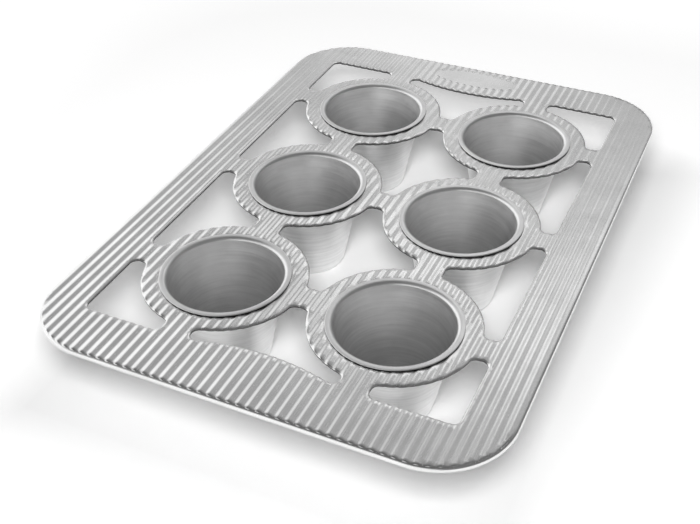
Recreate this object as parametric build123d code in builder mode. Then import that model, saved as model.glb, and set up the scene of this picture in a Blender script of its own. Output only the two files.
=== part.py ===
from build123d import *
from math import cos, radians, tan
import os

# A six-cup popover pan: six deep tapered cups in one ridged, pierced sheet whose edge is rolled over a wire.
# Millimetres. X runs across the pan, Y along it, Z up from the surface that the cups stand on.

# Outside of the pan
pan_length = 400.0
pan_width = 282.0
pan_corner_radius = 45.0

# Sheet, with ridges pressed right through it that run along the pan
sheet_thickness = 0.8
ridge_count = 48
ridge_height = 0.45

# Wire in the rolled edge, with flats in place of its round
wire_diameter = 2.5
wire_clearance = 0.05
roll_flat_count = 8
wrapped_flat_count = 5

# Places of the cups
cup_column_count = 2
cup_row_count = 3
pitch_across = 108.0
pitch_along = 108.0
column_names = ("left", "right")
row_names = ("front", "middle", "back")

# Cups, with their radii measured outside and their depth from the ridges' crests down to the base
cup_depth = 61.0
cup_wall = 0.8
cup_base_radius = 24.2
cup_base_round = 5.0
cup_mouth_radius = 35.3
cup_mouth_round = 2.7

# Lip bent out flat on the crests, and the bead crimped out under the sheet to hold it there
lip_radius = 39.1
bead_radius = 38.0
bead_height = 2.6
hole_clearance = 0.1
seat_clearance = 0.05

# Openings in the sheet: a window less the collars round the cups and the necks that join them
window_width = 225.0
window_length = 333.0
collar_radius = 49.5
neck_width = 17.6
opening_corner_round = 4.6
end_rail_bow = 7.5

# Flats in each round of the cups, their holes and their collars
round_flat_count = 28

# Distance past a face that a cut goes
overrun = 1.0

# Way in from a right-angled corner's sides to the middle of its round, as a share of the round
round_middle_share = 0.293

# Turn between two sides of an outline above which their corner is cut
least_turn = 30

# Worked out from the sizes above
roll_radius = wire_diameter / 2 + wire_clearance + sheet_thickness
roll_width = 2 * roll_radius
field_width = pan_width - 2 * roll_width
field_length = pan_length - 2 * roll_width
half_pitch = field_width / ridge_count / 2
crest_level = cup_depth
trough_level = crest_level - ridge_height
sheet_underside = trough_level - sheet_thickness
cut_height = crest_level - sheet_underside + 2 * overrun
cut_plane = Plane.XY.offset(sheet_underside - overrun)
flat_half_width = lip_radius * tan(radians(180 / round_flat_count))
lip_underside = crest_level + seat_clearance
lip_top = lip_underside + cup_wall
mouth_bore = cup_mouth_radius - cup_wall
mouth_bend_radius = mouth_bore + cup_mouth_round
mouth_bend_level = lip_top - cup_mouth_round
hole_radius = mouth_bend_radius + hole_clearance
bead_top = sheet_underside - seat_clearance
bead_root_radius = cup_mouth_radius + bead_top - mouth_bend_level
bow_half_width = (pitch_across - neck_width) / 2
base_bore = cup_base_radius - cup_wall
base_round_middle = round_middle_share * cup_base_round
inner_round_middle = round_middle_share * (cup_base_round - cup_wall)
opening_corner_cut = 2 * round_middle_share * opening_corner_round


def ridge_line(lift):
    """Points across one face of the sheet, from crest to trough and back."""
    levels = (crest_level + lift, trough_level + lift)
    steps = range(2 * ridge_count + 1)
    return [(step * half_pitch - field_width / 2, levels[step % 2]) for step in steps]


def ring_of_flats(radius, flats, first, last):
    """Corners first to last of a ring whose flats lie at this radius, counted clockwise from the top."""
    step = 360 / flats
    corner_radius = radius / cos(radians(step / 2))
    return [Vector(0, corner_radius).rotate(Axis.Z, -step * (turn + 0.5)) for turn in range(first, last + 1)]


def sharp_corners(sketch):
    """Corners of a sketch where its outline turns by more than the least turn."""
    corners = []
    for corner in sketch.vertices():
        before, after = [edge for edge in sketch.edges() if corner in edge.vertices()]
        turn = before.tangent_at(corner).get_angle(after.tangent_at(corner))
        if min(turn, 180 - turn) > least_turn:
            corners.append(corner)
    return corners


def finish(part, name):
    """Label a finished piece, write it to its own file and report it."""
    part.label = name
    export_step(part, f"parts/{name}.step")
    print(f"{name}: {len(part.solids())} solid, {part.volume:.0f} mm3, top at {part.bounding_box().max.Z:.2f}")


os.makedirs("parts", exist_ok=True)

# Outlines of the twelve openings
with BuildSketch(cut_plane) as openings:
    Rectangle(window_width, window_length)
    with GridLocations(pitch_across, pitch_along, cup_column_count, cup_row_count):
        RegularPolygon(
            collar_radius, round_flat_count, major_radius=False, rotation=180 / round_flat_count, mode=Mode.SUBTRACT
        )
    with GridLocations(pitch_across, 0, cup_column_count, 1):
        Rectangle(neck_width, window_length, mode=Mode.SUBTRACT)
    with GridLocations(0, pitch_along, 1, cup_row_count):
        Rectangle(window_width, neck_width, mode=Mode.SUBTRACT)
    for end in (1, -1):
        with BuildLine():
            rail_edge = end * window_length / 2
            ThreePointArc(
                (-bow_half_width, rail_edge), (0, rail_edge - end * end_rail_bow), (bow_half_width, rail_edge)
            )
            Line((bow_half_width, rail_edge), (-bow_half_width, rail_edge))
        make_face(mode=Mode.SUBTRACT)
    chamfer(sharp_corners(openings), opening_corner_cut)

# Route of the wire round the pan's edge
with BuildSketch(Plane.XY.offset(trough_level - roll_radius)) as wire_route:
    RectangleRounded(pan_width - roll_width, pan_length - roll_width, pan_corner_radius - roll_radius)
route = wire_route.sketch.face().outer_wire()
route_start = Plane(origin=route @ 0, x_dir=(route % 0).cross(Vector(0, 0, 1)), z_dir=-(route % 0))

# Frame: the ridged sheet, its openings, and the roll along its edge
with BuildPart() as frame:
    with BuildSketch(Plane.XZ):
        with BuildLine():
            Polyline(*ridge_line(0), *reversed(ridge_line(-sheet_thickness)), close=True)
        make_face()
    extrude(amount=field_length / 2, both=True)
    with BuildSketch(cut_plane):
        RectangleRounded(field_width, field_length, pan_corner_radius - roll_width)
    extrude(amount=cut_height, mode=Mode.INTERSECT)
    with BuildSketch(cut_plane):
        add(openings.sketch)
        with GridLocations(pitch_across, pitch_along, cup_column_count, cup_row_count):
            RegularPolygon(hole_radius, round_flat_count, major_radius=False, rotation=180 / round_flat_count)
    extrude(amount=cut_height, mode=Mode.SUBTRACT)
    with BuildSketch(route_start):
        with BuildLine():
            Polyline(
                (-roll_radius, roll_radius),
                *ring_of_flats(roll_radius, roll_flat_count, 0, wrapped_flat_count),
                *reversed(ring_of_flats(roll_radius - sheet_thickness, roll_flat_count, -1, wrapped_flat_count)),
                (-roll_radius, roll_radius - sheet_thickness),
                close=True,
            )
        make_face()
    sweep(path=route)
finish(frame.part, "frame")

# Wire that stiffens the rolled edge
with BuildPart() as rim_wire:
    with BuildSketch(route_start):
        RegularPolygon(wire_diameter / 2, roll_flat_count, major_radius=False, rotation=180 / roll_flat_count)
    sweep(path=route)
finish(rim_wire.part, "rim_wire")

# One slice of a cup, a flat wide, from the middle of its base out to its lip
with BuildPart() as cup_slice:
    with BuildSketch(Plane.XZ):
        with BuildLine():
            Polyline(
                (0, 0),
                (cup_base_radius - cup_base_round, 0),
                (cup_base_radius - base_round_middle, base_round_middle),
                (cup_base_radius, cup_base_round),
                (cup_mouth_radius, bead_top - bead_height),
                (bead_radius, bead_top),
                (bead_root_radius, bead_top),
                (mouth_bend_radius, lip_underside),
                (lip_radius, lip_underside),
                (lip_radius, lip_top),
                (mouth_bend_radius, lip_top),
                (mouth_bore, mouth_bend_level),
                (base_bore, cup_base_round),
                (base_bore - inner_round_middle, cup_wall + inner_round_middle),
                (cup_base_radius - cup_base_round, cup_wall),
                (0, cup_wall),
                close=True,
            )
        make_face()
    extrude(amount=flat_half_width, both=True)
    with BuildSketch():
        with BuildLine():
            Polyline((0, 0), (lip_radius, -flat_half_width), (lip_radius, flat_half_width), close=True)
        make_face()
    extrude(amount=lip_top, mode=Mode.INTERSECT)

# Cup in the middle of the pan, made of its slices
with BuildPart() as cup_form:
    with PolarLocations(0, round_flat_count):
        add(cup_slice.part)

# The cups, each in its own place
for row, row_name in enumerate(row_names):
    for column, column_name in enumerate(column_names):
        x = (column - (cup_column_count - 1) / 2) * pitch_across
        y = (row - (cup_row_count - 1) / 2) * pitch_along
        with BuildPart() as cup:
            with Locations((x, y)):
                add(cup_form.part)
        finish(cup.part, f"cup_{row_name}_{column_name}")
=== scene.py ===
"""How a six-cup popover pan looks: its ridged, pierced sheet, rolled rim, wire and cups, and the studio."""

import logging
from dataclasses import dataclass, field
from enum import Enum
from functools import partial
from math import asin, atan2, ceil, cos, degrees, radians, sin, sqrt, tau

import bmesh
import bpy
import numpy as np
from mathutils import Matrix, Vector
from mathutils.geometry import delaunay_2d_cdt
from mathutils.kdtree import KDTree


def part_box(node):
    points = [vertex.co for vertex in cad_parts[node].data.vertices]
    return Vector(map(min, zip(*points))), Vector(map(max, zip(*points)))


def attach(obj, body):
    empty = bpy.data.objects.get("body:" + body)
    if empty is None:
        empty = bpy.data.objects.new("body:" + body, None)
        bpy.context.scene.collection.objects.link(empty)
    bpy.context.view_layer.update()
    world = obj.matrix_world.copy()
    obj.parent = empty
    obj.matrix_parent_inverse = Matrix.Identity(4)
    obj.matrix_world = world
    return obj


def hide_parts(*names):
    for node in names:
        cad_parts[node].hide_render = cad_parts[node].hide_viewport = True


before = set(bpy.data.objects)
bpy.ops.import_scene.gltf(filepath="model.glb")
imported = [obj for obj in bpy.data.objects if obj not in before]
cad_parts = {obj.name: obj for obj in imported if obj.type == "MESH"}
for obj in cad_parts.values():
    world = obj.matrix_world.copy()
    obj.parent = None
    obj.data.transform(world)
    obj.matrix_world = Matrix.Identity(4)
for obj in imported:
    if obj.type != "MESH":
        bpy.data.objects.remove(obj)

report = logging.getLogger("popover_pan")

# Sizes are written in millimetres and multiplied by this where they become metres
MILLIMETRE = 0.001

# The body that every piece rides on
BODY = "root"

# Two points nearer than this are one, in metres
WELD_DISTANCE = 1e-6

# Edges that bend by more than this are drawn sharp
SHARP_ANGLE = radians(38)

Point = tuple[float, float]
Place = tuple[float, float, float]


def linear_colour(code: str) -> tuple[float, float, float, float]:
    """Turn an sRGB hex colour to linear light.

    Args:
        code: Six hex digits after a hash sign.

    Returns:
        Red, green, blue and a full alpha.
    """
    shares = [int(code[place : place + 2], 16) / 255 for place in (1, 3, 5)]
    linear = [share / 12.92 if share <= 0.04045 else ((share + 0.055) / 1.055) ** 2.4 for share in shares]
    return (*linear, 1.0)


def add_node(tree: bpy.types.NodeTree, kind: str, inputs: dict | None = None, **settings) -> bpy.types.Node:
    """Add a node to a tree.

    Args:
        tree: The tree that gets the node.
        kind: The node's type.
        inputs: What goes into its sockets: a node's first output, an output or a plain value.
        **settings: The node's own properties.

    Returns:
        The new node.
    """
    node = tree.nodes.new(kind)
    for name, value in settings.items():
        setattr(node, name, value)
    for key, value in (inputs or {}).items():
        socket = node.inputs[key]
        source = value.outputs[0] if isinstance(value, bpy.types.Node) else value
        if isinstance(source, bpy.types.NodeSocket):
            tree.links.new(source, socket)
        else:
            socket.default_value = source
    return node


def start_nodes(holder: bpy.types.Material | bpy.types.World | bpy.types.Light) -> partial:
    """Empty the node tree of a material, the world or a lamp.

    Args:
        holder: What the tree belongs to.

    Returns:
        The function that adds a node to this tree.
    """
    holder.use_nodes = True
    holder.node_tree.nodes.clear()
    return partial(add_node, holder.node_tree)


def add_object(name: str, data: bpy.types.ID) -> bpy.types.Object:
    """Add an object to the scene.

    Args:
        name: Its name.
        data: Its mesh, light or camera.

    Returns:
        The object.
    """
    made = bpy.data.objects.new(name, data)
    bpy.context.scene.collection.objects.link(made)
    return made


def set_ramp(node: bpy.types.Node, stops: list[tuple[float, str]]) -> None:
    """Give a colour ramp its stops.

    Args:
        node: The ramp.
        stops: Each stop's place from 0 to 1 and its hex colour.
    """
    elements = node.color_ramp.elements
    while len(elements) < len(stops):
        elements.new(1.0)
    for element, (place, code) in zip(elements, stops):
        element.position = place
        element.color = linear_colour(code)


def arc(centre: Point, radius: float, start: float, sweep: float, step: float) -> list[Point]:
    """Points along an arc.

    Args:
        centre: Its centre.
        radius: Its radius.
        start: Its first angle in degrees.
        sweep: How far it turns in degrees, negative for clockwise.
        step: The most that one chord turns, in degrees.

    Returns:
        The points, with both ends.
    """
    chords = max(1, ceil(abs(sweep) / step))
    angles = [radians(start + sweep * chord / chords) for chord in range(chords + 1)]
    return [(centre[0] + radius * cos(angle), centre[1] + radius * sin(angle)) for angle in angles]


class NodeShape:
    """A Geometry Nodes tree under construction, with named inputs."""

    def __init__(self, name: str, sizes: dict[str, float | int], cut: bool = False) -> None:
        """Start a tree.

        Args:
            name: The tree's name.
            sizes: Its named inputs with their values, in metres, plain numbers or counts.
            cut: Whether faces marked as cut, among them any painted shade, get a finish of their own.
        """
        self.tree = bpy.data.node_groups.new(name, "GeometryNodeTree")
        self.sizes = sizes
        self.cut = cut
        kinds = {"Geometry": "Geometry"}
        kinds |= {size: "Int" if isinstance(value, int) else "Float" for size, value in sizes.items()}
        kinds |= {finish: "Material" for finish in ("Material", "Cut And Shade Material")[: 1 + cut]}
        for label, kind in kinds.items():
            self.tree.interface.new_socket(label, in_out="INPUT", socket_type=f"NodeSocket{kind}")
        self.tree.interface.new_socket("Geometry", in_out="OUTPUT", socket_type="NodeSocketGeometry")
        self.add = partial(add_node, self.tree)
        self.input = self.add("NodeGroupInput").outputs

    def finish(self, surface: bpy.types.Node) -> None:
        """End the tree: shade smooth but for sharp edges, make real, and give the material.

        Args:
            surface: The node whose first output is the finished surface.
        """
        angle = self.add("GeometryNodeInputMeshEdgeAngle")
        sharp = self.add("FunctionNodeCompare", {0: angle, 1: SHARP_ANGLE}, operation="GREATER_THAN")
        shade = {"Geometry": surface, "Shade Smooth": True}
        smooth = self.add("GeometryNodeSetShadeSmooth", shade, domain="FACE")
        crease = {"Geometry": smooth, "Selection": sharp, "Shade Smooth": False}
        creased = self.add("GeometryNodeSetShadeSmooth", crease, domain="EDGE")
        real = self.add("GeometryNodeRealizeInstances", {"Geometry": creased})
        dressed = self.add("GeometryNodeSetMaterial", {"Geometry": real, "Material": self.input["Material"]})
        # Faces marked as cut take the dark finish, which is partly painted shade
        if self.cut:
            is_cut_or_seat_shade = self.add("GeometryNodeInputNamedAttribute", {"Name": "cut"}, data_type="BOOLEAN")
            seat_shade_or_cut = {"Geometry": dressed, "Selection": is_cut_or_seat_shade, "Material": self.input["Cut And Shade Material"]}
            dressed = self.add("GeometryNodeSetMaterial", seat_shade_or_cut)
        self.add("NodeGroupOutput", {"Geometry": dressed})

    def run(
        self,
        name: str,
        start: bpy.types.Mesh,
        material: bpy.types.Material,
        cut_and_shade_material: bpy.types.Material | None = None,
    ) -> bpy.types.Object:
        """Run the tree on a mesh.

        Args:
            name: The new piece's name.
            start: The mesh that the tree begins with, which is used up.
            material: The finish that the tree gives.
            cut_and_shade_material: The finish of its cut faces and of any painted shade marked with them.

        Returns:
            The piece, as a plain mesh with no modifier.
        """
        piece = add_object(name, start)
        modifier = piece.modifiers.new(self.tree.name, "NODES")
        modifier.node_group = self.tree
        values = {**self.sizes, "Material": material, "Cut And Shade Material": cut_and_shade_material}
        for socket in self.tree.interface.items_tree:
            if socket.in_out == "INPUT" and socket.name in values:
                modifier[socket.identifier] = values[socket.name]
        evaluated = piece.evaluated_get(bpy.context.evaluated_depsgraph_get())
        shape = bpy.data.meshes.new_from_object(evaluated)
        piece.modifiers.remove(modifier)
        piece.data = shape
        shape.name = name
        bpy.data.meshes.remove(start)
        return piece


def turn_outwards(piece: bpy.types.Object) -> None:
    """Make the faces of a closed shell point outwards.

    Args:
        piece: The piece that the shell belongs to.
    """
    shell = bmesh.new()
    shell.from_mesh(piece.data)
    bmesh.ops.recalc_face_normals(shell, faces=shell.faces)
    shell.to_mesh(piece.data)
    shell.free()


def hand_over(piece: bpy.types.Object, slot: str, *nodes: str) -> None:
    """Make a finished piece ride and stand for its solids, and report it.

    Args:
        piece: The finished piece.
        slot: The record's material slot; not used.
        *nodes: The solids that it stands for.
    """
    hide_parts(*nodes)
    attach(piece, BODY)
    piece.data.calc_loop_triangles()
    report.info("%s: %d triangles, for %s", piece.name, len(piece.data.loop_triangles), ", ".join(nodes))


class Slot(Enum):
    """The record's material slots."""

    SHEET = "aluminised_sheet"
    CUP = "drawn_cup"
    WIRE = "steel_wire"


@dataclass(frozen=True)
class SatinMetal:
    """A bare metal surface with a grain: fine lines one way, and wide clouds where it is duller.

    The grain, its depth and the clouds are in millimetres.
    """

    name: str
    bright: str
    dull: str
    roughness: float
    roughness_spread: float
    grain: tuple[float, float, float]
    grain_depth: float
    cloud: float
    grain_tone: float = 0.0
    line_detail: float = 3.0
    line_roughness: float = 0.6
    cloud_detail: float = 4.0
    cloud_roughness: float = 0.55
    tone_range: tuple[float, float] = (0.35, 0.65)
    sheen_range: tuple[float, float] = (0.3, 0.7)

    def build(self) -> bpy.types.Material:
        """Make the node material.

        Returns:
            The material.
        """
        material = bpy.data.materials.new(self.name)
        add = start_nodes(material)
        place = add("ShaderNodeTexCoord").outputs["Object"]
        per_metre = [1 / (size * MILLIMETRE) for size in self.grain]
        stretched = add("ShaderNodeMapping", {"Vector": place, "Scale": per_metre})
        fine = {"Scale": 1.0, "Detail": self.line_detail, "Roughness": self.line_roughness}
        lines = add("ShaderNodeTexNoise", {"Vector": stretched, **fine})
        wide = {"Detail": self.cloud_detail, "Roughness": self.cloud_roughness}
        clouds = add("ShaderNodeTexNoise", {"Vector": place, "Scale": 1 / (self.cloud * MILLIMETRE), **wide})
        marks = add("ShaderNodeMix", {0: self.grain_tone, 2: clouds.outputs[0], 3: lines.outputs[0]})
        tone = add("ShaderNodeValToRGB", {"Fac": marks})
        set_ramp(tone, list(zip(self.tone_range, (self.dull, self.bright))))
        read = {"Value": lines, "From Min": self.sheen_range[0], "From Max": self.sheen_range[1]}
        least, most = self.roughness - self.roughness_spread, self.roughness + self.roughness_spread
        rough = add("ShaderNodeMapRange", {**read, "To Min": least, "To Max": most})
        depth = {"Strength": 1.0, "Distance": self.grain_depth * MILLIMETRE}
        metal = {
            "Base Color": tone,
            "Metallic": 1.0,
            "Roughness": rough,
            "Normal": add("ShaderNodeBump", {"Height": lines, **depth}),
        }
        add("ShaderNodeOutputMaterial", {"Surface": add("ShaderNodeBsdfPrincipled", metal)})
        return material


# Aluminised steel sheet, hot dipped and then rolled lengthways. It is a pale, almost white metal with a soft
# sheen, and its rolling lines run along the pan and stretch each highlight across them.
ALUMINISED_SHEET = SatinMetal(
    name="aluminised_steel_sheet",
    bright="#E6E6E6",
    dull="#DCDCDC",
    roughness=0.24,
    roughness_spread=0.04,
    grain=(0.35, 9.0, 0.35),
    grain_depth=0.003,
    cloud=22.0,
)

# Bare steel where the punch sheared through the coated sheet, painted darker than bare steel as painted
# shade, and a painted shade ring on the sheet under each cup's lip, so that each opening and the seat of each
# cup is drawn with a thin dark line.
SHEARED_EDGE_AND_SEAT_SHADE = SatinMetal(
    name="sheared_edge_and_painted_seat_shade",
    bright="#6A6A6A",
    dull="#525252",
    roughness=0.4,
    roughness_spread=0.08,
    grain=(0.3, 0.3, 0.3),
    grain_depth=0.004,
    cloud=5.0,
)

# The same sheet drawn deep by a punch, which leaves lines round the cup and a duller sheen than the flat
# sheet's. The lines are drawn coarser than real ones, and partly in the tone, so that they show.
DRAWN_CUP = SatinMetal(
    name="drawn_aluminised_steel",
    bright="#F4F4F4",
    dull="#E0E0E0",
    roughness=0.4,
    roughness_spread=0.05,
    grain=(30.0, 30.0, 1.8),
    grain_depth=0.015,
    cloud=14.0,
    grain_tone=0.65,
)

# Cold-drawn steel wire, bright and smooth, with draw lines along it that are too fine to see
STEEL_WIRE = SatinMetal(
    name="cold_drawn_steel_wire",
    bright="#C4C5C8",
    dull="#B2B3B6",
    roughness=0.3,
    roughness_spread=0.05,
    grain=(0.6, 0.6, 0.6),
    grain_depth=0.002,
    cloud=9.0,
)


@dataclass(frozen=True)
class StraightSide:
    """A straight side of an opening, which lies on the left of its way."""

    start: Vector
    way: Vector

    def left(self) -> Vector:
        """Direction from the side into the opening."""
        return Vector((-self.way.y, self.way.x))

    def touch(self, centre: Vector, radius: float) -> Vector:
        """Point where a corner round of this centre and radius touches the side."""
        return centre - self.left() * radius


@dataclass(frozen=True)
class RoundSide:
    """A round side of an opening, which lies outside this disc of sheet."""

    centre: Vector
    radius: float

    def touch(self, centre: Vector, radius: float) -> Vector:
        """Point where a corner round of this centre and radius touches the side."""
        return self.centre + (centre - self.centre) * self.radius / (self.radius + radius)


Side = StraightSide | RoundSide


def meet(first: Side, second: Side, inset: float, near: Vector) -> Vector:
    """Find the point that lies a distance inside of two sides of an opening.

    Args:
        first: One side.
        second: The other side.
        inset: The distance from both.
        near: A point near the wanted one, as two sides can have two such points.

    Returns:
        The point.
    """
    if isinstance(first, RoundSide) and isinstance(second, StraightSide):
        return meet(second, first, inset, near)
    if isinstance(first, StraightSide):
        origin, across = first.start + first.left() * inset, first.way
        if isinstance(second, StraightSide):
            other = second.start + second.left() * inset
            along = (other - origin).dot(second.left()) / first.way.dot(second.left())
            return origin + first.way * along
        foot = origin + first.way * (second.centre - origin).dot(first.way)
        half = sqrt((second.radius + inset) ** 2 - (second.centre - foot).length_squared)
    else:
        apart = second.centre - first.centre
        reach, other_reach = first.radius + inset, second.radius + inset
        along = (apart.length_squared + reach**2 - other_reach**2) / (2 * apart.length)
        half = sqrt(reach**2 - along**2)
        unit = apart.normalized()
        foot, across = first.centre + unit * along, Vector((-unit.y, unit.x))
    return min((foot + across * half, foot - across * half), key=lambda choice: (choice - near).length)


@dataclass(frozen=True)
class Opening:
    """One opening of the sheet, from its sides in anticlockwise order."""

    sides: list[Side]
    middle: Vector
    corner_round: float
    step: float = 2.0
    corner_step: float = 12.0

    def outline(self) -> list[Point]:
        """Draw the opening with its corners rounded.

        Returns:
            Its points in anticlockwise order.
        """
        pairs = list(zip(self.sides, self.sides[1:] + self.sides[:1]))
        corners = [meet(side, following, self.corner_round, self.middle) for side, following in pairs]
        points: list[Point] = []
        for turn, (side, following) in enumerate(pairs):
            begin = side.touch(corners[turn - 1], self.corner_round)
            end = side.touch(corners[turn], self.corner_round)
            if isinstance(side, RoundSide):
                points += self.around(side.centre, side.radius, begin, end, -1, self.step)
            else:
                points += [tuple(begin), tuple(end)]
            next_begin = following.touch(corners[turn], self.corner_round)
            points += self.around(corners[turn], self.corner_round, end, next_begin, 1, self.corner_step)
        return points

    @staticmethod
    def around(
        centre: Vector, radius: float, begin: Vector, end: Vector, turn: int, step: float
    ) -> list[Point]:
        """Draw an arc from one point to another.

        Args:
            centre: Its centre.
            radius: Its radius.
            begin: Its first point.
            end: Its last point.
            turn: 1 for anticlockwise and -1 for clockwise.
            step: The most that one chord turns, in degrees.

        Returns:
            The points, with both ends.
        """
        first = degrees(atan2(begin.y - centre.y, begin.x - centre.x))
        last = degrees(atan2(end.y - centre.y, end.x - centre.x))
        sweep = turn * (turn * (last - first) % 360)
        return arc(tuple(centre), radius, first, sweep, step)


def mirrored(points: list[Point], across: int, along: int) -> list[Point]:
    """Mirror an outline and keep it anticlockwise.

    Args:
        points: The outline.
        across: -1 to mirror left to right, or 1.
        along: -1 to mirror front to back, or 1.

    Returns:
        The mirrored outline.
    """
    turned = [(x * across, y * along) for x, y in points]
    return turned if across * along > 0 else turned[::-1]


@dataclass(frozen=True)
class SheetPlan:
    """Where the sheet ends and where it is pierced, seen from above, in millimetres."""

    half_width: float
    half_length: float
    corner_radius: float = 45.0
    half_window_width: float = 112.5
    half_window_length: float = 166.5
    half_column_pitch: float = 54.0
    row_pitch: float = 108.0
    collar_radius: float = 49.5
    half_neck: float = 8.8
    neck_to_middle: float = 26.4
    end_rail_bow: float = 7.5
    corner_round: float = 4.4
    hole_radius: float = 37.3
    hole_step: float = 4.0

    def openings(self) -> list[list[Point]]:
        """Outlines of the twelve openings.

        Returns:
            One list of points for each.
        """
        up, left, down, right = [Vector(way) for way in ((0, 1), (-1, 0), (0, -1), (1, 0))]
        inner, outer = self.half_column_pitch - self.half_neck, self.half_column_pitch + self.half_neck
        low, high, beyond = self.half_neck, self.row_pitch - self.half_neck, self.row_pitch + self.half_neck
        bow_radius = (inner**2 + self.end_rail_bow**2) / (2 * self.end_rail_bow)
        bow = RoundSide(Vector((0, self.half_window_length - self.end_rail_bow + bow_radius)), bow_radius)

        def side(way: Vector, place: float) -> StraightSide:
            """Side that runs this way, this far to the right of the pan's middle or behind it."""
            return StraightSide(Vector((abs(way.y), abs(way.x))) * place, way)

        def collar(column: int, row: int) -> RoundSide:
            """Collar round the cup of a column, -1 or 1, and a row counted from the middle."""
            place = Vector((column * self.half_column_pitch, row * self.row_pitch))
            return RoundSide(place, self.collar_radius)

        def outline(x: float, y: float, *sides: Side) -> list[Point]:
            """Outline of the opening round about this point."""
            return Opening(list(sides), Vector((x, y)), self.corner_round).outline()

        rail, end_rail = side(up, self.half_window_width), side(left, self.half_window_length)
        front, back = side(right, low), side(left, high)
        right_neck, left_neck = side(up, inner), side(down, -inner)
        cup, near_cup, left_cup, near_left_cup = collar(1, 1), collar(1, 0), collar(-1, 1), collar(-1, 0)
        x, y, between = outer + self.neck_to_middle, beyond + self.neck_to_middle, self.row_pitch / 2
        corner = outline(x, y, rail, end_rail, side(down, outer), cup, side(right, beyond))
        flank = outline(x, between, rail, back, cup, side(down, outer), near_cup, front)
        end = outline(0, y, side(right, beyond), cup, right_neck, bow, left_neck, left_cup)
        row = (front, near_cup, right_neck, cup, back, left_cup, left_neck, near_left_cup)
        middle = outline(0, between, *row)
        outlines = []
        for across in (1, -1):
            for along in (1, -1):
                outlines += [mirrored(corner, across, along), mirrored(flank, across, along)]
        for along in (1, -1):
            outlines += [mirrored(end, 1, along), mirrored(middle, 1, along)]
        return outlines

    def cup_centres(self) -> list[Point]:
        """Middles of the six cups."""
        rows = [row * self.row_pitch for row in (-1, 0, 1)]
        return [(column * self.half_column_pitch, y) for column in (-1, 1) for y in rows]

    def rings(self, radius: float) -> list[list[Point]]:
        """A circle of this radius round each cup."""
        return [arc(centre, radius, 0, 360, self.hole_step) for centre in self.cup_centres()]

    def cup_distance(self, points: np.ndarray) -> np.ndarray:
        """How far points lie from the middle of the nearest cup."""
        return np.min([np.linalg.norm(points - centre, axis=1) for centre in self.cup_centres()], axis=0)

    def rim(self, inset: float, step: float = 5.0) -> list[Point]:
        """Outline of the pan.

        Args:
            inset: How far it lies inside the pan's outer edge.
            step: The most that one chord of its corners turns, in degrees.

        Returns:
            Its points in anticlockwise order.
        """
        x, y = self.half_width - self.corner_radius, self.half_length - self.corner_radius
        points: list[Point] = []
        for start, centre in ((0, (x, y)), (90, (-x, y)), (180, (-x, -y)), (270, (x, -y))):
            points += arc(centre, self.corner_radius - inset, start, 90, step)
        return points

    def rim_distance(self, points: np.ndarray) -> np.ndarray:
        """Say how far points lie inside the pan's outer edge.

        Args:
            points: The points.

        Returns:
            The distances.
        """
        past = np.abs(points) - [self.half_width - self.corner_radius, self.half_length - self.corner_radius]
        outside = np.linalg.norm(np.maximum(past, 0), axis=1) + np.minimum(past.max(axis=1), 0)
        return self.corner_radius - outside


def inside(outline: np.ndarray, points: np.ndarray) -> np.ndarray:
    """Say which points lie inside a closed outline.

    Args:
        outline: The outline's points.
        points: The points to test.

    Returns:
        True for each point inside.
    """
    result = np.zeros(len(points), bool)
    low, high = outline.min(axis=0), outline.max(axis=0)
    near = np.flatnonzero(((points >= low) & (points <= high)).all(axis=1))
    x, y = points[near].T
    hits = np.zeros(len(near), bool)
    for begin, end in zip(outline, np.roll(outline, -1, axis=0)):
        spans = (begin[1] > y) != (end[1] > y)
        if begin[1] != end[1]:
            crossing = begin[0] + (y - begin[1]) * (end[0] - begin[0]) / (end[1] - begin[1])
            hits ^= spans & (x < crossing)
    result[near] = hits
    return result


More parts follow.
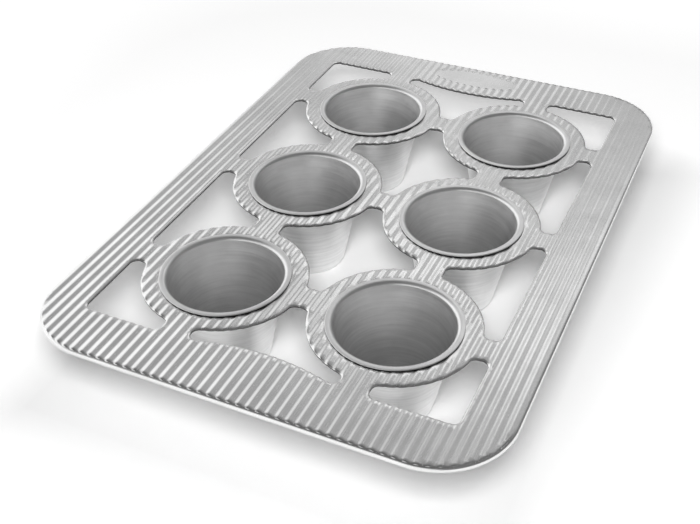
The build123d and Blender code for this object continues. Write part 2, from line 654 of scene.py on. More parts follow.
@dataclass
class RidgedSheet:
    """The sheet: cut to its outline, pressed into ridges, and given its thickness. Sizes in millimetres."""

    plan: SheetPlan
    crest_level: float
    ridge_pitch: float = 5.7
    ridge_height: float = 0.45
    ridge_sharpness: float = 0.6
    thickness: float = 0.8
    edge_radius: float = 2.0
    edge_insets: tuple[float, ...] = (0.2, 0.6, 1.2)
    edge_levelling: float = 0.45
    seat_levelling: float = 0.5
    rim_levelling: float = 0.75
    # Radius out to which the sheet round each cup's hole is painted dark as shade under the lip
    seat_shade_radius: float = 39.15
    seat_shade_margin: float = 0.1
    seat_radii: tuple[float, ...] = (39.6, 40.3, 41.2)
    bend_insets: tuple[float, ...] = (0.85, 1.15, 1.5, 2.0)
    bend_sinks: tuple[float, ...] = (0.95, 0.25, 0.09, 0.0)
    columns_per_ridge: int = 8
    row_spacing: float = 3.3
    fine_row_spacing: float = 0.9
    pad_centre: float = 182.5
    pad_half_length: float = 32.0
    pad_half_width: float = 10.5
    pad_fade: float = 2.6
    clear_of_edge: float = 0.42
    longest_edge: float = 3.0
    upright_share: float = 1 / 50
    nearest_share: float = 1 / 6

    def column_spacing(self) -> float:
        """Distance between the columns of points that follow the ridges."""
        return self.ridge_pitch / self.columns_per_ridge

    def split(self, outline: list[Point]) -> np.ndarray:
        """Add points to a closed outline where it crosses the columns, and along its long straight sides.

        Args:
            outline: The corners.

        Returns:
            The points, with no two of them nearly the same.
        """
        spacing = self.column_spacing()
        nearest = spacing * self.nearest_share
        points: list[np.ndarray] = []
        corners = np.array(outline)
        for begin, end in zip(corners, np.roll(corners, -1, axis=0)):
            length = float(np.linalg.norm(end - begin))
            if length < WELD_DISTANCE / MILLIMETRE:
                continue
            pieces = max(1, ceil(length / self.longest_edge))
            shares = {piece / pieces for piece in range(pieces)}
            across = end[0] - begin[0]
            if abs(across) > spacing * self.upright_share:
                first, last = sorted((begin[0], end[0]))
                for column in range(ceil(first / spacing), int(last // spacing) + 1):
                    share = (column * spacing - begin[0]) / across
                    if 0 < share < 1:
                        shares.add(float(share))
            for share in sorted(shares):
                point = begin + (end - begin) * share
                if not points or np.linalg.norm(point - points[-1]) > nearest:
                    points.append(point)
        if np.linalg.norm(points[0] - points[-1]) < nearest:
            points.pop()
        return np.array(points)

    @staticmethod
    def offset(outline: np.ndarray, distance: float) -> np.ndarray:
        """Move a closed anticlockwise outline outwards.

        Args:
            outline: The outline.
            distance: How far it moves.

        Returns:
            The moved outline.
        """
        way = np.roll(outline, -1, axis=0) - np.roll(outline, 1, axis=0)
        way /= np.linalg.norm(way, axis=1)[:, None]
        return outline + np.stack([way[:, 1], -way[:, 0]], axis=1) * distance

    def field_points(self, outlines: list[np.ndarray], rim: np.ndarray) -> np.ndarray:
        """Points inside the sheet, in columns that follow the ridges, and closer together on the pad.

        Args:
            outlines: The openings and holes.
            rim: The outer limit.

        Returns:
            The points.
        """
        spacing = self.column_spacing()
        reach = int(self.plan.half_width // spacing)
        columns = np.arange(-reach, reach + 1) * spacing
        count = round(2 * self.plan.half_length / self.row_spacing)
        rows = np.linspace(-self.plan.half_length, self.plan.half_length, count)
        points = np.stack(np.meshgrid(columns, rows), axis=-1).reshape(-1, 2)
        pad_width, pad_reach = self.pad_half_length + self.pad_fade, self.pad_half_width + self.pad_fade
        pad_columns = columns[np.abs(columns) < pad_width]
        pad_rows = np.arange(self.pad_centre - pad_reach, self.pad_centre + pad_reach, self.fine_row_spacing)
        fine = np.stack(np.meshgrid(pad_columns, pad_rows), axis=-1).reshape(-1, 2)
        beside = np.abs(points[:, 0]) > pad_width
        coarse = beside | (np.abs(points[:, 1] - self.pad_centre) > pad_reach + self.fine_row_spacing)
        points = np.concatenate([points[coarse], fine])
        kept = inside(rim, points)
        for outline in outlines:
            kept &= ~inside(outline, points)
        edges = np.concatenate([self.close_points(outline) for outline in [*outlines, rim]])
        tree = KDTree(len(edges))
        for index, (x, y) in enumerate(edges):
            tree.insert((x, y, 0), index)
        tree.balance()
        return np.array([(x, y) for x, y in points[kept] if tree.find((x, y, 0))[2] > self.clear_of_edge])

    def close_points(self, outline: np.ndarray) -> np.ndarray:
        """Points a short way apart along a closed outline.

        Args:
            outline: The outline.

        Returns:
            The points.
        """
        following = np.roll(outline, -1, axis=0)
        length = float(np.linalg.norm(following - outline, axis=1).max())
        shares = np.linspace(0, 1, ceil(length / self.clear_of_edge), endpoint=False)
        return np.concatenate([outline + (following - outline) * share for share in shares])

    def pad_distance(self, points: np.ndarray) -> np.ndarray:
        """Say about how far points lie outside the bare pad on the back rail.

        Args:
            points: The points.

        Returns:
            The distances.
        """
        size = np.array([self.pad_half_length, self.pad_half_width])
        scaled = np.linalg.norm((points - [0, self.pad_centre]) / size, axis=1)
        slope = np.linalg.norm((points - [0, self.pad_centre]) / size**2, axis=1) + WELD_DISTANCE
        return (scaled - 1) * scaled / slope

    def blank(self) -> bpy.types.Mesh:
        """Cut the flat sheet: triangles with the ridge loss, the sink and the drop stored on their points.

        Returns:
            The flat mesh, in metres, with the painted shade ring under each cup's lip marked as cut.
        """
        cuts = [self.split(outline) for outline in self.plan.openings()]
        holes = [self.split(outline) for outline in self.plan.rings(self.plan.hole_radius)]
        bends = [[self.offset(cut, inset) for cut in cuts] for inset in self.edge_insets]
        seat_radii = (self.seat_shade_radius, *self.seat_radii)
        seats = [[self.split(outline) for outline in self.plan.rings(radius)] for radius in seat_radii]
        rims = [self.split(self.plan.rim(inset)) for inset in self.bend_insets]
        loops = [(cut, 0.0) for cut in cuts] + [(hole, np.inf) for hole in holes]
        loops += [(bend, inset) for inset, row in zip(self.edge_insets, bends) for bend in row]
        loops += [(loop, np.inf) for loop in [*sum(seats, []), *rims]]
        field_points = self.field_points([*bends[-1], *seats[-1]], rims[-1])
        points = np.concatenate([*[loop for loop, _ in loops], field_points])
        edges, start = [], 0
        inset_of = np.full(len(points), np.inf)
        for loop, inset in loops:
            edges += [(start + step, start + (step + 1) % len(loop)) for step in range(len(loop))]
            inset_of[start : start + len(loop)] = inset
            start += len(loop)
        places, _, faces, sources, _, _ = delaunay_2d_cdt(
            [Vector(point) for point in points], edges, [], 0, WELD_DISTANCE / MILLIMETRE, True
        )
        cut_count = sum(len(cut) for cut in [*cuts, *holes])
        on_cut = np.array([any(source < cut_count for source in origin) for origin in sources])
        solid = [face for face in faces if not all(on_cut[corner] for corner in face)]
        flat = np.array([tuple(place) for place in places])
        mesh = bpy.data.meshes.new("blank")
        mesh.from_pydata([(x * MILLIMETRE, y * MILLIMETRE, 0) for x, y in flat], [], solid)
        inset = np.array([inset_of[origin[0]] if origin else np.inf for origin in sources])
        for name, values in self.levels(flat, inset).items():
            mesh.attributes.new(name, "FLOAT", "POINT").data.foreach_set("value", values.astype(np.float32))
        # A ring round each cup's hole, reaching just past the lip, takes the dark edge finish as painted
        # shade
        seat_shade_or_cut = self.plan.cup_distance(flat) < self.seat_shade_radius + self.seat_shade_margin
        is_painted_seat_shade = [all(seat_shade_or_cut[corner] for corner in face) for face in solid]
        mesh.attributes.new("cut", "BOOLEAN", "FACE").data.foreach_set("value", is_painted_seat_shade)
        report.info("blank: %d points, %d triangles", len(flat), len(solid))
        return mesh

    def levels(self, flat: np.ndarray, inset: np.ndarray) -> dict[str, np.ndarray]:
        """Work out how each point of the blank leaves the plain ridges.

        Args:
            flat: The points.
            inset: How far each lies inside the edge of an opening, or infinity off such an edge.

        Returns:
            In metres, by the names that the tree reads: how much height the ridges lose, how far the sheet
            sinks into the rim, and how far its edges drop away.
        """
        seat_start, seat_end = self.seat_radii[0], self.seat_radii[-1]
        cup_share = np.clip((seat_end - self.plan.cup_distance(flat)) / (seat_end - seat_start), 0, 1)
        pad_share = 1 - np.clip(self.pad_distance(flat) / self.pad_fade, 0, 1)
        rim_distance = self.plan.rim_distance(flat)
        sink = np.interp(rim_distance, self.bend_insets, self.bend_sinks)
        rim_share = np.interp(rim_distance, (self.bend_insets[0], self.bend_insets[-1]), (1, 0))
        reach = np.maximum(self.edge_insets[-1] - inset, 0)
        drop = self.edge_radius - np.sqrt(self.edge_radius**2 - reach**2)
        level_shares = (
            pad_share**2,
            self.seat_levelling * cup_share,
            self.edge_levelling * reach / self.edge_insets[-1],
            self.rim_levelling * rim_share,
        )
        loss = np.max(level_shares, axis=0) * self.ridge_height
        return {"ridge_loss": loss * MILLIMETRE, "sink": sink * MILLIMETRE, "drop": drop * MILLIMETRE}

    def press(self) -> NodeShape:
        """Tree that thickens the flat blank and presses the ridges into it.

        Returns:
            The tree.
        """
        sizes = {
            "Thickness": self.thickness * MILLIMETRE,
            "Crest Level": self.crest_level * MILLIMETRE,
            "Ridge Height": self.ridge_height * MILLIMETRE,
            "Ridge Turn": tau / (self.ridge_pitch * MILLIMETRE),
            "Ridge Sharpness": self.ridge_sharpness,
        }
        shape = NodeShape("pressed_sheet", sizes, cut=True)
        add, size = shape.add, shape.input
        loss, sink, drop = [
            add("GeometryNodeInputNamedAttribute", {"Name": name}, data_type="FLOAT")
            for name in ("ridge_loss", "sink", "drop")
        ]
        # The marked ring under each lip is painted shade; the sheet's new side walls join it as cut faces
        seat_shade_or_cut = add("GeometryNodeInputNamedAttribute", {"Name": "cut"}, data_type="BOOLEAN")
        pull = {"Mesh": size["Geometry"], "Offset Scale": size["Thickness"], "Individual": False}
        upper = add("GeometryNodeExtrudeMesh", pull, mode="FACES")
        cut = add("FunctionNodeBooleanMath", {0: upper.outputs["Side"], 1: seat_shade_or_cut}, operation="OR")
        mark = {"Geometry": upper, "Name": "cut", "Value": cut}
        marked = add("GeometryNodeStoreNamedAttribute", mark, data_type="BOOLEAN", domain="FACE")
        lower = add("GeometryNodeFlipFaces", {"Mesh": size["Geometry"]})
        both = add("GeometryNodeJoinGeometry", {"Geometry": marked})
        shape.tree.links.new(lower.outputs[0], both.inputs[0])
        slab = add("GeometryNodeMergeByDistance", {"Geometry": both, "Distance": WELD_DISTANCE})
        x, y, z = add("ShaderNodeSeparateXYZ", {"Vector": add("GeometryNodeInputPosition")}).outputs
        limit = add("ShaderNodeMath", {0: size["Ridge Sharpness"]}, operation="ARCSINE")
        drops = {0: size["Crest Level"], 1: size["Ridge Height"]}
        trough = add("ShaderNodeMath", drops, operation="SUBTRACT")
        depth = add("ShaderNodeMath", {0: z, 1: size["Thickness"]}, operation="SUBTRACT")
        underside = add("ShaderNodeMath", {0: trough, 1: size["Thickness"]}, operation="SUBTRACT")
        # From a cosine across the pan to a ridge with flatter flanks, and then to the height of each point
        level = x
        for operation, *others in (
            ("MULTIPLY", size["Ridge Turn"]),
            ("COSINE",),
            ("MULTIPLY", size["Ridge Sharpness"]),
            ("ARCSINE",),
            ("DIVIDE", limit),
            ("MULTIPLY_ADD", 0.5, 0.5),
            ("MULTIPLY", size["Ridge Height"]),
            ("SUBTRACT", loss),
            ("MAXIMUM", 0.0),
            ("SUBTRACT", sink),
            ("ADD", trough),
            ("ADD", depth),
            ("MAXIMUM", underside),
            ("SUBTRACT", drop),
        ):
            level = add("ShaderNodeMath", dict(enumerate((level, *others))), operation=operation)
        moved = add("ShaderNodeCombineXYZ", {"X": x, "Y": y, "Z": level})
        shape.finish(add("GeometryNodeSetPosition", {"Geometry": slab, "Position": moved}))
        return shape

    def build(self, material: bpy.types.Material, cut_and_shade_material: bpy.types.Material) -> None:
        """Make the sheet and hand it over.

        Args:
            material: Its finish.
            cut_and_shade_material: The finish of its sheared edges and of the painted shade ring under each
                cup's lip.
        """
        piece = self.press().run("ridged_sheet", self.blank(), material, cut_and_shade_material)
        for name in ("ridge_loss", "sink", "drop", "cut"):
            piece.data.attributes.remove(piece.data.attributes[name])
        hand_over(piece, Slot.SHEET.value, "frame")


def loop_mesh(name: str, points: list[Point], closed: bool) -> bpy.types.Mesh:
    """Make a mesh of edges from an outline in millimetres, in the XY plane.

    Args:
        name: The mesh's name.
        points: The outline.
        closed: Whether its end meets its start.

    Returns:
        The mesh, in metres.
    """
    count = len(points)
    edges = [(step, (step + 1) % count) for step in range(count if closed else count - 1)]
    mesh = bpy.data.meshes.new(name)
    mesh.from_pydata([(x * MILLIMETRE, y * MILLIMETRE, 0) for x, y in points], edges, [])
    return mesh


@dataclass
class RolledRim:
    """The edge of the sheet, rolled over a wire, and the wire. Sizes in millimetres, angles in degrees."""

    plan: SheetPlan
    top_level: float
    roll_radius: float = 2.1
    thickness: float = 0.8
    wire_radius: float = 1.25
    first_angle: float = 66.0
    roll_sweep: float = 254.0
    roll_step: float = 11.0
    lip_step: float = 60.0
    wire_step: float = 22.5
    corner_chords: int = 24

    def sweep(self, name: str) -> NodeShape:
        """Tree that runs a closed profile round the pan's edge.

        Args:
            name: The tree's name.

        Returns:
            The tree.
        """
        sizes = {
            "Width": 2 * (self.plan.half_width - self.roll_radius) * MILLIMETRE,
            "Length": 2 * (self.plan.half_length - self.roll_radius) * MILLIMETRE,
            "Corner Radius": (self.plan.corner_radius - self.roll_radius) * MILLIMETRE,
            "Corner Chords": self.corner_chords,
            "Level": (self.top_level - self.roll_radius) * MILLIMETRE,
        }
        shape = NodeShape(name, sizes)
        add, size = shape.add, shape.input
        sides = {"Width": size["Width"], "Height": size["Length"]}
        rectangle = add("GeometryNodeCurvePrimitiveQuadrilateral", sides)
        corners = {"Curve": rectangle, "Count": size["Corner Chords"], "Radius": size["Corner Radius"]}
        route = add("GeometryNodeFilletCurve", corners, mode="POLY")
        profile = add("GeometryNodeMeshToCurve", {"Mesh": size["Geometry"]})
        tube = add("GeometryNodeCurveToMesh", {"Curve": route, "Profile Curve": profile})
        lift = add("ShaderNodeCombineXYZ", {"Z": size["Level"]})
        shape.finish(add("GeometryNodeSetPosition", {"Geometry": tube, "Offset": lift}))
        return shape

    def profile(self) -> list[Point]:
        """Section through the rolled edge, with the pan's inside at negative X and its top at positive Y.

        Returns:
            Its points in order.
        """
        middle, half_wall = (0.0, 0.0), self.thickness / 2
        last_angle = self.first_angle - self.roll_sweep
        tail, tail_radius = radians(last_angle), self.roll_radius - half_wall
        tail_centre = (tail_radius * cos(tail), tail_radius * sin(tail))
        outer = arc(middle, self.roll_radius, self.first_angle, -self.roll_sweep, self.roll_step)
        tail_round = arc(tail_centre, half_wall, last_angle, -180, self.lip_step)[1:-1]
        inner = arc(middle, self.roll_radius - self.thickness, last_angle, self.roll_sweep, self.roll_step)
        return outer + tail_round + inner

    def build(self, sheet_material: bpy.types.Material, wire_material: bpy.types.Material) -> None:
        """Make the rolled edge and the wire and hand them over.

        Args:
            sheet_material: The finish of the rolled edge.
            wire_material: The finish of the wire.
        """
        ring = arc((0.0, 0.0), self.wire_radius, 0, 360, self.wire_step)[:-1]
        for name, section, material, slot, node in (
            ("rolled_edge", self.profile(), sheet_material, Slot.SHEET, "frame"),
            ("rim_wire_round", ring, wire_material, Slot.WIRE, "rim_wire"),
        ):
            piece = self.sweep(name).run(name, loop_mesh("section", section, True), material)
            turn_outwards(piece)
            hand_over(piece, slot.value, node)


@dataclass
class DrawnCup:
    """One deep cup with its lip and crimp bead. Sizes in millimetres, angles in degrees."""

    node: str
    x: float
    y: float
    lip_top: float
    lip_radius: float
    wall: float = 0.8
    base_radius: float = 24.2
    base_round: float = 5.0
    mouth_radius: float = 35.3
    mouth_round: float = 2.7
    lip_edge_round: float = 0.3
    bead_radius: float = 38.0
    bead_round: float = 1.0
    bead_height: float = 2.6
    bead_top: float = 59.7
    bead_start: float = -60.0
    bead_sweep: float = 150.0
    draw_line_depths: tuple[float, ...] = (7.0, 13.0, 21.0)
    draw_line_step: float = 0.45
    draw_line_run: float = 1.4
    taper: float = 11.4
    arc_step: float = 12.0
    bead_arc_step: float = 24.0
    lip_arc_step: float = 36.0
    segments: int = 144

    def outer_profile(self) -> list[Point]:
        """Outside of the cup from the middle of its base up to its lip.

        Returns:
            Its points, as radius and height.
        """
        base_centre = (self.base_radius - self.base_round, self.base_round)
        base = arc(base_centre, self.base_round, -90, 90 - self.taper, self.arc_step)
        foot = (self.mouth_radius, self.bead_top - self.bead_height)
        crimp_centre = (self.bead_radius - self.bead_round, self.bead_top - self.bead_round)
        crimp = arc(crimp_centre, self.bead_round, self.bead_start, self.bead_sweep, self.bead_arc_step)
        bend = self.mouth_round - self.wall
        centre = (self.mouth_radius + bend, self.lip_top - self.mouth_round)
        root = 180 - degrees(asin((self.bead_top - centre[1]) / bend))
        neck = arc(centre, bend, root, 90 - root, self.arc_step)
        edge = self.lip_edge_round
        under_centre = (self.lip_radius - edge, self.lip_top - self.wall + edge)
        return [(0.0, 0.0), *base, foot, *crimp, *neck, *arc(under_centre, edge, -90, 90, self.lip_arc_step)]

    def inner_profile(self) -> list[Point]:
        """Inside of the cup from its lip down to the middle of its base.

        Returns:
            Its points, as radius and height.
        """
        edge_round, inner_round = self.lip_edge_round, self.base_round - self.wall
        edge_centre = (self.lip_radius - edge_round, self.lip_top - edge_round)
        edge = arc(edge_centre, edge_round, 0, 90, self.bead_arc_step)
        centre = (self.mouth_radius - self.wall + self.mouth_round, self.lip_top - self.mouth_round)
        mouth = arc(centre, self.mouth_round, 90, 90 - self.taper, self.arc_step)
        base_centre = (self.base_radius - self.wall - inner_round, self.base_round)
        base = arc(base_centre, inner_round, -self.taper, self.taper - 90, self.arc_step)
        top_radius, top_level = mouth[-1]
        foot_radius, foot_level = base[0]
        slope = (top_radius - foot_radius) / (top_level - foot_level)
        wall = []
        for depth in self.draw_line_depths:
            level = self.lip_top - depth
            radius = top_radius - (top_level - level) * slope
            narrower = radius - self.draw_line_run * slope
            wall += [(radius + self.draw_line_step, level), (narrower, level - self.draw_line_run)]
        return [*edge, *mouth, *wall, *base, (0.0, self.wall)]

    def turn(self, profile_points: int) -> NodeShape:
        """Tree that turns a profile round the cup's axis.

        Args:
            profile_points: How many points the profile has.

        Returns:
            The tree.
        """
        sizes = {
            "Centre X": self.x * MILLIMETRE,
            "Centre Y": self.y * MILLIMETRE,
            "Profile Points": profile_points,
            "Segments": self.segments,
        }
        shape = NodeShape("turned_cup", sizes)
        add, size = shape.add, shape.input
        around = add("ShaderNodeMath", {0: size["Segments"], 1: 1.0}, operation="ADD")
        counts = {"Vertices X": size["Profile Points"], "Vertices Y": around}
        net = add("GeometryNodeMeshGrid", {"Size X": 1.0, "Size Y": 1.0, **counts})
        place = add("GeometryNodeInputPosition")
        across, along, _ = add("ShaderNodeSeparateXYZ", {"Vector": place}).outputs
        last = add("ShaderNodeMath", {0: size["Profile Points"], 1: 1.0}, operation="SUBTRACT")
        share = add("ShaderNodeMath", {0: across, 1: 0.5}, operation="ADD")
        step = add("ShaderNodeMath", {0: share, 1: last}, operation="MULTIPLY")
        number = add("ShaderNodeMath", {0: step}, operation="ROUND")
        sample = {"Geometry": size["Geometry"], "Value": place, "Index": number}
        point = add("GeometryNodeSampleIndex", sample, data_type="FLOAT_VECTOR")
        radius, level, _ = add("ShaderNodeSeparateXYZ", {"Vector": point}).outputs
        angle = add("ShaderNodeMath", {0: along, 1: tau}, operation="MULTIPLY")
        cosine = add("ShaderNodeMath", {0: angle}, operation="COSINE")
        sine = add("ShaderNodeMath", {0: angle}, operation="SINE")
        x = add("ShaderNodeMath", {0: radius, 1: cosine, 2: size["Centre X"]}, operation="MULTIPLY_ADD")
        y = add("ShaderNodeMath", {0: radius, 1: sine, 2: size["Centre Y"]}, operation="MULTIPLY_ADD")
        moved = add("ShaderNodeCombineXYZ", {"X": x, "Y": y, "Z": level})
        turned = add("GeometryNodeSetPosition", {"Geometry": net, "Position": moved})
        shape.finish(add("GeometryNodeMergeByDistance", {"Geometry": turned, "Distance": WELD_DISTANCE}))
        return shape

    def build(self, material: bpy.types.Material) -> None:
        """Make the cup and hand it over.

        Args:
            material: Its finish.
        """
        points = self.outer_profile() + self.inner_profile()
        profile = loop_mesh("profile", points, False)
        piece = self.turn(len(points)).run(f"drawn_{self.node}", profile, material)
        turn_outwards(piece)
        hand_over(piece, Slot.CUP.value, self.node)


@dataclass(frozen=True)
class Card:
    """A tall white card in the studio: its level way, and where its soft sides and top start and end."""

    way: Place
    side_start: float
    side_end: float
    top_start: float
    top_end: float

    def share(self, add: partial, way: bpy.types.NodeSocket) -> bpy.types.Node:
        """Nodes that say how much of the card shows in a direction.

        Args:
            add: The function that adds a node to the world's tree.
            way: The direction.

        Returns:
            The node that gives a share from 0 to 1.
        """
        across, along, height = add("ShaderNodeSeparateXYZ", {"Vector": way}).outputs
        flat = add("ShaderNodeCombineXYZ", {"X": across, "Y": along})
        level = add("ShaderNodeVectorMath", {0: flat}, operation="NORMALIZE")
        near = add("ShaderNodeVectorMath", {0: level, 1: self.way}, operation="DOT_PRODUCT")
        sides = {"Value": near.outputs["Value"], "From Min": self.side_start, "From Max": self.side_end}
        top = {"Value": height, "From Min": self.top_start, "From Max": self.top_end}
        shares = [add("ShaderNodeMapRange", edge, interpolation_type="SMOOTHSTEP") for edge in (sides, top)]
        return add("ShaderNodeMath", dict(enumerate(shares)), operation="MULTIPLY")


class LampUse(Enum):
    """What a lamp is for."""

    KEY = "casts the shadow, as strong far off as near by, and doesn't glare in metal"
    CARD = "only shows in metal"


@dataclass
class Lamp:
    """One soft lamp of the studio, in metres and watts."""

    name: str
    use: LampUse
    place: Place
    aim: Place
    width: float
    height: float
    power: float

    def build(self) -> None:
        """Hang the lamp."""
        light = bpy.data.lights.new(self.name, "AREA")
        light.shape = "RECTANGLE"
        light.size, light.size_y = self.width, self.height
        light.energy = self.power
        lamp = add_object(self.name, light)
        lamp.location = self.place
        way = Vector(self.aim) - Vector(self.place)
        lamp.rotation_euler = way.to_track_quat("-Z", "Y").to_euler()
        if self.use is LampUse.KEY:
            add = start_nodes(light)
            even = add("ShaderNodeLightFalloff", {"Strength": 1.0})
            glow = add("ShaderNodeEmission", {"Strength": even.outputs["Constant"]})
            add("ShaderNodeOutputLight", {"Surface": glow})
        lamp.visible_glossy = self.use is LampUse.CARD
        lamp.visible_diffuse = self.use is LampUse.KEY


@dataclass
class Studio:
    """Floor, sky, lamps and camera. Sizes in metres, angles in degrees, and the pan's half size is flat."""

    pan_half_size: Place
    floor_half_size: float = 4.0
    floor_white: str = "#FAFAFA"
    floor_glow: float = 0.02
    mirrored_glow: float = 0.1
    wash_glow: float = 0.36
    wash_start: float = 0.0
    wash_end: float = 0.05
    far_glow: float = 0.7
    far_start: float = 0.2
    far_end: float = 1.0
    back_wall: tuple[tuple[float, str], ...] = (
        (0.12, "#686868"),
        (0.35, "#808080"),
        (0.6, "#9F9F9F"),
        (0.76, "#AFAFAF"),
        (0.89, "#BEBEBE"),
        (0.96, "#787878"),
    )
    front_wall: tuple[tuple[float, str], ...] = ((0.0, "#F6F6F6"), (0.4, "#F6F6F6"), (0.52, "#606060"))
    right_wall: tuple[tuple[float, str], ...] = ((0.0, "#D8D8D8"), (0.06, "#6E6E6E"))
    front_end: float = -0.12
    back_start: float = 0.12
    right_start: float = 0.25
    right_end: float = 0.5
    white: str = "#FFFFFF"
    sky_strength: float = 1.3
    sky_light: float = 0.62
    left_card: Card = Card((-0.996, 0.087, 0.0), 0.6, 0.82, 0.82, 0.5)
    image_width: int = 700
    focal_pixels: float = 1034.25
    azimuth: float = 25.19
    elevation: float = 37.467
    roll: float = -0.774
    target: Place = (0.00822, -0.06795, 0.061)
    distance: float = 0.6164
    sensor_width: float = 36.0
    lamps: list[Lamp] = field(
        default_factory=lambda: [
            Lamp("key", LampUse.KEY, (0.214, -0.53, 0.55), (0.0, 0.0, 0.0), 0.2, 0.2, 9.0),
            Lamp("overhead_card", LampUse.CARD, (-0.1, 0.6, 0.66), (0.12, -0.1, 0.06), 0.3, 0.24, 0.17),
            Lamp("right_card", LampUse.CARD, (0.3, 0.77, 0.66), (0.127, 0.0, 0.06), 0.22, 0.22, 0.09),
            Lamp("back_card", LampUse.CARD, (-0.26, 0.8, 0.33), (0.0, 0.18, 0.06), 0.25, 0.2, 0.055),
        ]
    )

    @staticmethod
    def shown(add: partial) -> bpy.types.Node:
        """Nodes that tell where the eye, metal or glass sees a backdrop from where it only lights.

        Args:
            add: The function that adds a node to the backdrop's tree.

        Returns:
            The node that gives 1 where it is seen and 0 where it only lights.
        """
        rays = add("ShaderNodeLightPath").outputs
        kinds = {0: rays["Is Camera Ray"], 1: rays["Is Glossy Ray"]}
        seen = add("ShaderNodeMath", kinds, operation="MAXIMUM")
        return add("ShaderNodeMath", {0: seen, 1: rays["Is Transmission Ray"]}, operation="MAXIMUM")

    def build_floor(self) -> None:
        """Lay the white floor, which shows the pan's shadow."""
        half = self.floor_half_size
        mesh = bpy.data.meshes.new("floor")
        corners = [(-half, -half, 0), (half, -half, 0), (half, half, 0), (-half, half, 0)]
        mesh.from_pydata(corners, [], [(0, 1, 2, 3)])
        floor = add_object("floor", mesh)
        material = bpy.data.materials.new("matt_white_paper")
        add = start_nodes(material)
        paper = add("ShaderNodeBsdfDiffuse", {"Color": linear_colour(self.floor_white)})
        place = add("ShaderNodeTexCoord").outputs["Object"]
        size = add("ShaderNodeVectorMath", {0: place}, operation="ABSOLUTE")
        past = add("ShaderNodeVectorMath", {0: size, 1: self.pan_half_size}, operation="SUBTRACT")
        outside = add("ShaderNodeVectorMath", {0: past, 1: (0.0, 0.0, 0.0)}, operation="MAXIMUM")
        apart = add("ShaderNodeVectorMath", {0: outside}, operation="LENGTH").outputs["Value"]
        mirrored_ray = add("ShaderNodeLightPath").outputs["Is Glossy Ray"]
        inner = {0: mirrored_ray, 1: self.mirrored_glow - self.floor_glow, 2: self.floor_glow}
        glow_inside = add("ShaderNodeMath", inner, operation="MULTIPLY_ADD")
        limits = {"From Min": self.wash_start, "From Max": self.wash_end}
        levels = {"To Min": glow_inside, "To Max": self.wash_glow}
        wash = add("ShaderNodeMapRange", {"Value": apart, **limits, **levels})
        far_limits = {"From Min": self.far_start, "From Max": self.far_end, "To Max": self.far_glow}
        far = add("ShaderNodeMapRange", {"Value": apart, **far_limits})
        both = add("ShaderNodeMath", {0: wash, 1: far}, operation="ADD")
        strength = add("ShaderNodeMath", {0: self.shown(add), 1: both}, operation="MULTIPLY")
        glow = add("ShaderNodeEmission", {"Strength": strength})
        add("ShaderNodeOutputMaterial", {"Surface": add("ShaderNodeAddShader", {0: paper, 1: glow})})
        mesh.materials.append(material)

    def build_sky(self) -> None:
        """Light the studio all round: grey walls, dark overhead and on the right, with a white card."""
        world = bpy.data.worlds.new("studio")
        add = start_nodes(world)
        way = add("ShaderNodeTexCoord").outputs["Generated"]
        across, along, height = add("ShaderNodeSeparateXYZ", {"Vector": way}).outputs
        walls = []
        for stops, rise in ((self.front_wall, height), (self.back_wall, along), (self.right_wall, height)):
            wall = add("ShaderNodeValToRGB", {"Fac": rise})
            set_ramp(wall, list(stops))
            walls.append(wall)
        back_limits = {"From Min": self.front_end, "From Max": self.back_start}
        right_limits = {"From Min": self.right_start, "From Max": self.right_end}
        white = linear_colour(self.white)
        # Each layer covers those before it by its share; a Mix node's colours are inputs 6 and 7 and output 2
        colour = walls[0].outputs[0]
        for share, other in (
            (add("ShaderNodeMapRange", {"Value": along, **back_limits}), walls[1]),
            (add("ShaderNodeMapRange", {"Value": across, **right_limits}), walls[2]),
            (self.left_card.share(add, way), white),
            (add("ShaderNodeLightPath").outputs["Is Camera Ray"], white),
        ):
            colour = add("ShaderNodeMix", {0: share, 6: colour, 7: other}, data_type="RGBA").outputs[2]
        levels = {"To Min": self.sky_light, "To Max": self.sky_strength}
        strength = add("ShaderNodeMapRange", {"Value": self.shown(add), **levels})
        sky = add("ShaderNodeBackground", {"Color": colour, "Strength": strength})
        add("ShaderNodeOutputWorld", {"Surface": sky})
        bpy.context.scene.world = world

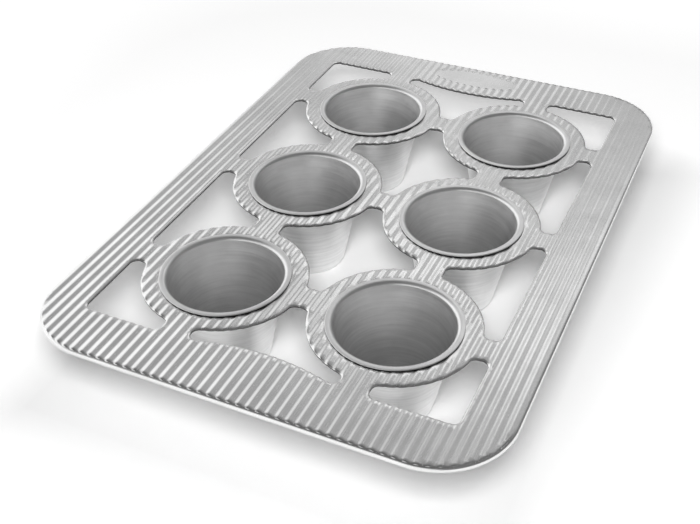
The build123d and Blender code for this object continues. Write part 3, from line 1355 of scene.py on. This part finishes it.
    def build_camera(self) -> None:
        """Stand the camera where the photograph was taken from."""
        azimuth, elevation, roll = radians(self.azimuth), radians(self.elevation), radians(self.roll)
        back = Vector((sin(azimuth) * cos(elevation), -cos(azimuth) * cos(elevation), sin(elevation)))
        level = Vector((0, 0, 1)).cross(back).normalized()
        steep = back.cross(level)
        right = level * cos(roll) + steep * sin(roll)
        up = steep * cos(roll) - level * sin(roll)
        data = bpy.data.cameras.new("camera")
        data.sensor_width = self.sensor_width
        data.sensor_fit = "HORIZONTAL"
        data.lens = self.focal_pixels / self.image_width * self.sensor_width
        camera = add_object("camera", data)
        turned = Matrix((right, up, back)).transposed().to_4x4()
        camera.matrix_world = Matrix.Translation(Vector(self.target) + back * self.distance) @ turned
        bpy.context.scene.camera = camera

    def build(self) -> None:
        """Set up the whole studio."""
        self.build_floor()
        self.build_sky()
        for lamp in self.lamps:
            lamp.build()
        self.build_camera()
        bpy.context.scene.view_settings.view_transform = "Standard"
        report.info("studio: floor, sky, %d lamps and camera", len(self.lamps))


def main() -> None:
    """Build the studio and the pan."""
    logging.basicConfig(level=logging.INFO, format="%(name)s: %(message)s")
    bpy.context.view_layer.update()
    low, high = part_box("frame")
    Studio((high.x, high.y, 0.0)).build()
    plan = SheetPlan(half_width=high.x / MILLIMETRE, half_length=high.y / MILLIMETRE)
    sheet_metal = ALUMINISED_SHEET.build()
    cup_metal = DRAWN_CUP.build()
    sheet = RidgedSheet(plan, high.z / MILLIMETRE)
    sheet.build(sheet_metal, SHEARED_EDGE_AND_SEAT_SHADE.build())
    RolledRim(plan, sheet.crest_level - sheet.ridge_height).build(sheet_metal, STEEL_WIRE.build())
    for node in sorted(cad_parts):
        if node.startswith("cup_"):
            cup_low, cup_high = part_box(node)
            DrawnCup(
                node=node,
                x=(cup_low.x + cup_high.x) / 2 / MILLIMETRE,
                y=(cup_low.y + cup_high.y) / 2 / MILLIMETRE,
                lip_top=cup_high.z / MILLIMETRE,
                lip_radius=(cup_high.x - cup_low.x) / 2 / MILLIMETRE,
            ).build(cup_metal)


if __name__ == "__main__":
    main()
